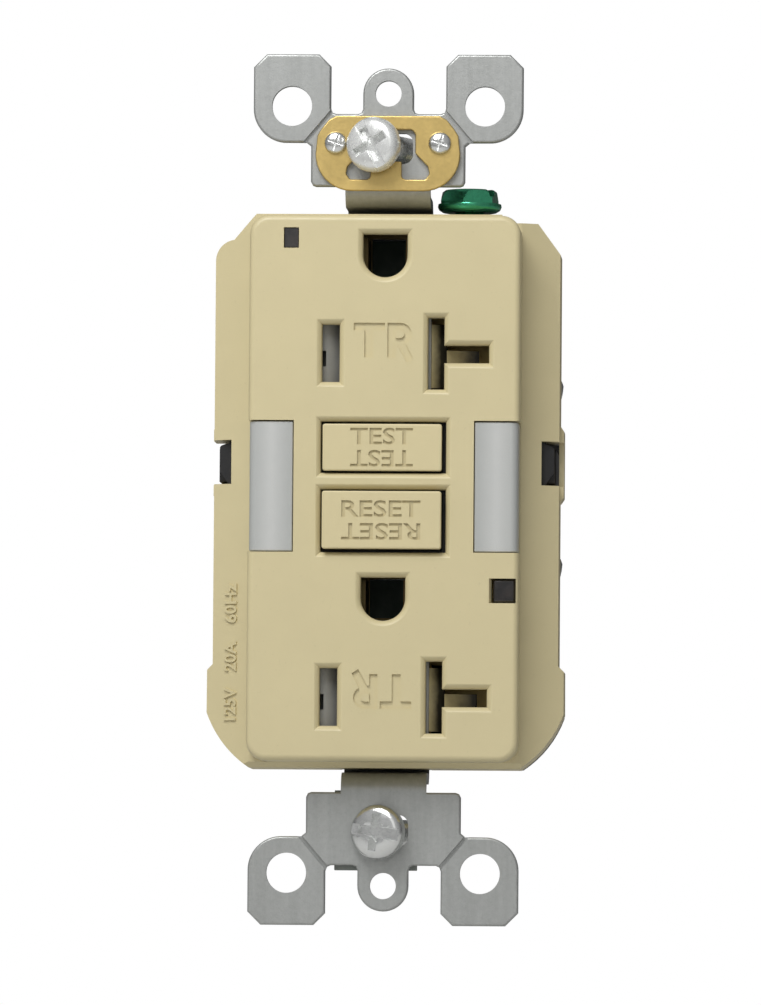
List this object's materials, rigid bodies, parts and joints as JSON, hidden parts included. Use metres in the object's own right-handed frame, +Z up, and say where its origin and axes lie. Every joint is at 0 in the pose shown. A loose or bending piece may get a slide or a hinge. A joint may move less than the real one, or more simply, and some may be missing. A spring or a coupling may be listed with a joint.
{
  "type": "gfci_outlet",
  "caption": "Ivory tamper-resistant 20 A GFCI duplex outlet with test and reset buttons, frosted guide lights, steel mounting strap and side wire terminals",
  "frame": {"origin": "middle of the device on the wall plane, halfway between the two device-box screws, level with the back of the strap's ears", "axes": "+X to the right of someone facing the outlet, +Y into the wall, +Z up; the face looks along -Y"},
  "size_m": [0.0436, 0.0346, 0.1064],
  "materials": {
    "ivory_plastic": "satin moulded ivory plastic",
    "frosted_plastic": "frosted white light lens",
    "smoked_plastic": "smoked, near black, glossy",
    "black_plastic": "black moulded plastic",
    "grey_plastic": "light grey plastic",
    "fibre": "grey vulcanised fibre",
    "galvanised_steel": "dull galvanised sheet",
    "zinc_plate": "bright zinc plate",
    "brass": "rolled brass",
    "green_zinc": "glossy green dyed zinc",
    "spring_steel": "round spring wire",
    "enamelled_copper": "enamelled copper wire",
    "ferrite": "dark coated core",
    "board": "green circuit board with soldered parts"
  },
  "bodies": {
    "housing": {"front_cover": "ivory_plastic", "back_body": "black_plastic", "status_light_pipe": "smoked_plastic", "light_sensor_window": "smoked_plastic", "guide_lens_left": "frosted_plastic", "guide_led_left": "grey_plastic", "clip_rivet_left": "zinc_plate", "guide_lens_right": "frosted_plastic", "guide_led_right": "grey_plastic", "clip_rivet_right": "zinc_plate", "test_spring": "spring_steel", "reset_spring": "spring_steel", "shutter_frame_upper": "ivory_plastic", "shutter_spring_upper": "spring_steel", "ground_contact_upper": "brass", "shutter_frame_lower": "ivory_plastic", "shutter_spring_lower": "spring_steel", "ground_contact_lower": "brass", "contact_carrier": "black_plastic", "hot_contact_strip": "brass", "neutral_contact_strip": "brass", "mounting_strap": "galvanised_steel", "self_ground_clip": "brass", "screw_retainer_top": "fibre", "screw_retainer_bottom": "fibre", "terminal_plate_line_hot": "brass", "terminal_plate_line_neutral": "brass", "terminal_plate_load_hot": "brass", "terminal_plate_load_neutral": "brass", "assembly_screw_1": "zinc_plate", "assembly_screw_2": "zinc_plate", "assembly_screw_3": "zinc_plate", "assembly_screw_4": "zinc_plate", "circuit_board": "board", "differential_core": "ferrite", "neutral_core": "ferrite", "coil_bobbin": "black_plastic", "coil_winding": "enamelled_copper", "plunger_spring": "spring_steel"},
    "test": {"test_button": "ivory_plastic"},
    "reset": {"reset_button": "ivory_plastic", "reset_pin": "zinc_plate"},
    "upper_shutter": {"shutter_upper": "grey_plastic"},
    "lower_shutter": {"shutter_lower": "grey_plastic"},
    "solenoid_plunger": {"plunger": "zinc_plate"},
    "lift": {"lifter": "grey_plastic"},
    "latch_plate": {"latch": "zinc_plate"},
    "hot_arm": {"contact_arm_hot": "brass"},
    "neutral_arm": {"contact_arm_neutral": "brass"},
    "green_screw": {"ground_screw": "green_zinc"},
    "top_screw": {"mount_screw_top": "zinc_plate"},
    "bottom_screw": {"mount_screw_bottom": "zinc_plate"},
    "clamp_line_hot": {"clamp_plate_line_hot": "brass"},
    "screw_line_hot": {"terminal_screw_line_hot": "brass"},
    "clamp_line_neutral": {"clamp_plate_line_neutral": "zinc_plate"},
    "screw_line_neutral": {"terminal_screw_line_neutral": "zinc_plate"},
    "clamp_load_hot": {"clamp_plate_load_hot": "brass"},
    "screw_load_hot": {"terminal_screw_load_hot": "brass"},
    "clamp_load_neutral": {"clamp_plate_load_neutral": "zinc_plate"},
    "screw_load_neutral": {"terminal_screw_load_neutral": "zinc_plate"}
  },
  "joints": [
    {"name": "test_press", "type": "slide", "parent": "housing", "child": "test", "axis": [0, 1, 0], "range_m": [0, 0.0014], "stiffness_N_per_m": 600, "springref_m": -0.001, "deforming": ["test_spring"]},
    {"name": "reset_press", "type": "slide", "parent": "housing", "child": "reset", "axis": [0, 1, 0], "range_m": [0, 0.0016], "stiffness_N_per_m": 800, "springref_m": -0.001, "deforming": ["reset_spring"]},
    {"name": "shutter_upper_slide", "type": "slide", "parent": "housing", "child": "upper_shutter", "axis": [-1, 0, 0], "range_m": [0, 0.0026], "stiffness_N_per_m": 60, "springref_m": -0.0008, "deforming": ["shutter_spring_upper"]},
    {"name": "shutter_lower_slide", "type": "slide", "parent": "housing", "child": "lower_shutter", "axis": [-1, 0, 0], "range_m": [0, 0.0026], "stiffness_N_per_m": 60, "springref_m": -0.0008, "deforming": ["shutter_spring_lower"]},
    {"name": "plunger_stroke", "type": "slide", "parent": "housing", "child": "solenoid_plunger", "axis": [0, 0, 1], "range_m": [0, 0.0012], "stiffness_N_per_m": 120, "springref_m": -0.001, "deforming": ["plunger_spring"]},
    {"name": "lifter_slide", "type": "slide", "parent": "housing", "child": "lift", "axis": [0, -1, 0], "range_m": [0, 0.0014], "stiffness_N_per_m": 80, "springref_m": -0.0008},
    {"name": "latch_slide", "type": "slide", "parent": "lift", "child": "latch_plate", "axis": [0, 0, 1], "range_m": [0, 0.0012]},
    {"name": "contact_arm_hot_swing", "type": "hinge", "parent": "housing", "child": "hot_arm", "pos_m": [-0.0082, 0.0146, 0.0084], "axis": [-1, 0, 0], "range_deg": [0, 7.2]},
    {"name": "contact_arm_neutral_swing", "type": "hinge", "parent": "housing", "child": "neutral_arm", "pos_m": [0.0082, 0.0146, 0.0084], "axis": [-1, 0, 0], "range_deg": [0, 7.2]},
    {"name": "ground_screw_slide", "type": "slide", "parent": "housing", "child": "green_screw", "axis": [0, 0, 1], "range_m": [-0.0004, 0.004]},
    {"name": "mount_screw_top_slide", "type": "slide", "parent": "housing", "child": "top_screw", "axis": [-0.3429, -0.9394, 0], "range_m": [0, 0.01]},
    {"name": "mount_screw_bottom_slide", "type": "slide", "parent": "housing", "child": "bottom_screw", "axis": [-0.3051, -0.9523, 0], "range_m": [0, 0.01]},
    {"name": "clamp_line_hot_slide", "type": "slide", "parent": "housing", "child": "clamp_line_hot", "axis": [1, 0, 0], "range_m": [-0.0008, 0.001]},
    {"name": "screw_line_hot_turn", "type": "hinge", "parent": "clamp_line_hot", "child": "screw_line_hot", "pos_m": [-0.0187, 0.015, -0.011], "axis": [1, 0, 0], "range_deg": [-365, 455]},
    {"name": "clamp_line_neutral_slide", "type": "slide", "parent": "housing", "child": "clamp_line_neutral", "axis": [-1, 0, 0], "range_m": [-0.0008, 0.001]},
    {"name": "screw_line_neutral_turn", "type": "hinge", "parent": "clamp_line_neutral", "child": "screw_line_neutral", "pos_m": [0.0187, 0.015, -0.011], "axis": [-1, 0, 0], "range_deg": [-365, 455]},
    {"name": "clamp_load_hot_slide", "type": "slide", "parent": "housing", "child": "clamp_load_hot", "axis": [1, 0, 0], "range_m": [-0.0008, 0.001]},
    {"name": "screw_load_hot_turn", "type": "hinge", "parent": "clamp_load_hot", "child": "screw_load_hot", "pos_m": [-0.0187, 0.015, 0.011], "axis": [1, 0, 0], "range_deg": [-365, 455]},
    {"name": "clamp_load_neutral_slide", "type": "slide", "parent": "housing", "child": "clamp_load_neutral", "axis": [-1, 0, 0], "range_m": [-0.0008, 0.001]},
    {"name": "screw_load_neutral_turn", "type": "hinge", "parent": "clamp_load_neutral", "child": "screw_load_neutral", "pos_m": [0.0187, 0.015, 0.011], "axis": [-1, 0, 0], "range_deg": [-365, 455]}
  ],
  "couplings": [
    {"joint": "latch_slide", "follows": "plunger_stroke", "ratio": 1},
    {"joint": "contact_arm_hot_swing", "follows": "lifter_slide", "rad_per_m": 87.266},
    {"joint": "contact_arm_neutral_swing", "follows": "lifter_slide", "rad_per_m": 87.266},
    {"joint": "screw_line_hot_turn", "follows": "clamp_line_hot_slide", "rad_per_m": 7915.8},
    {"joint": "screw_line_neutral_turn", "follows": "clamp_line_neutral_slide", "rad_per_m": 7915.8},
    {"joint": "screw_load_hot_turn", "follows": "clamp_load_hot_slide", "rad_per_m": 7915.8},
    {"joint": "screw_load_neutral_turn", "follows": "clamp_load_neutral_slide", "rad_per_m": 7915.8}
  ]
}
